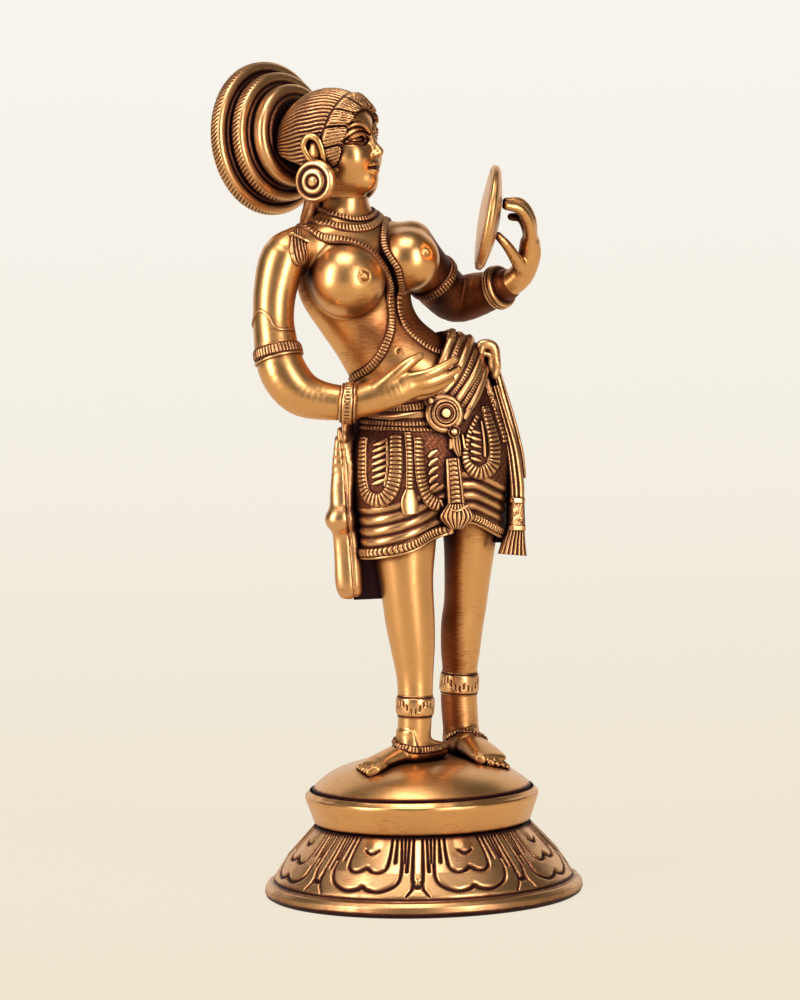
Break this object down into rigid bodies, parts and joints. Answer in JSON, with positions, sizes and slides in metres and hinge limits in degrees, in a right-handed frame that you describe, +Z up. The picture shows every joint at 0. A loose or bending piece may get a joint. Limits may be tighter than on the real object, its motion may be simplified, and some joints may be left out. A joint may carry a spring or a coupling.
{
  "type": "apsara figurine",
  "caption": "Standing celestial dancer in antiqued cast brass, one arm bent across the waist, looking into a domed hand mirror, on a round lotus pedestal.",
  "frame": {"origin": "centre of the bounding box, on the surface that the pedestal stands on", "axes": "+Z up, +X to the right of someone who faces the figurine, +Y away from them; the hair bun is at -X and the mirror at +X"},
  "size_m": [0.0986, 0.0886, 0.2325],
  "materials": {
    "brass_polished": "cast brass, rubbed bright on the high places",
    "brass_patina": "cast brass, dark brown antiquing left in the relief"
  },
  "bodies": {
    "root": {"lotus_base": "brass_polished", "base_collar": "brass_polished", "ground_mound": "brass_polished", "right_leg": "brass_polished", "left_leg": "brass_polished", "right_anklet": "brass_polished", "left_anklet": "brass_polished", "torso": "brass_polished", "skirt": "brass_patina", "right_arm": "brass_polished", "left_arm": "brass_polished", "right_armlet": "brass_polished", "left_armlet": "brass_polished", "right_hand": "brass_polished", "left_hand": "brass_polished", "right_bangle": "brass_polished", "left_bangle": "brass_polished", "mirror": "brass_polished", "head": "brass_polished", "hair_cap": "brass_patina", "bun_back_disc": "brass_patina", "bun_middle_disc": "brass_patina", "bun_front_disc": "brass_patina", "nape_lock": "brass_patina", "right_ear_disc": "brass_polished", "left_ear_disc": "brass_polished", "choker": "brass_polished", "collar_row": "brass_polished", "right_chest_strand": "brass_polished", "left_chest_strand": "brass_polished", "shoulder_tassel": "brass_polished", "belt": "brass_patina", "belt_rosette": "brass_polished", "belt_tassel": "brass_polished", "hip_pleats": "brass_patina", "front_sash": "brass_patina", "right_outer_swag": "brass_patina", "right_inner_swag": "brass_patina", "left_swag": "brass_patina", "ribbed_tassel": "brass_patina", "right_hem_band": "brass_patina", "left_hem_band": "brass_patina", "right_sash": "brass_patina", "left_sash": "brass_patina", "sash_bow": "brass_patina", "sash_web": "brass_patina"}
  },
  "joints": []
}
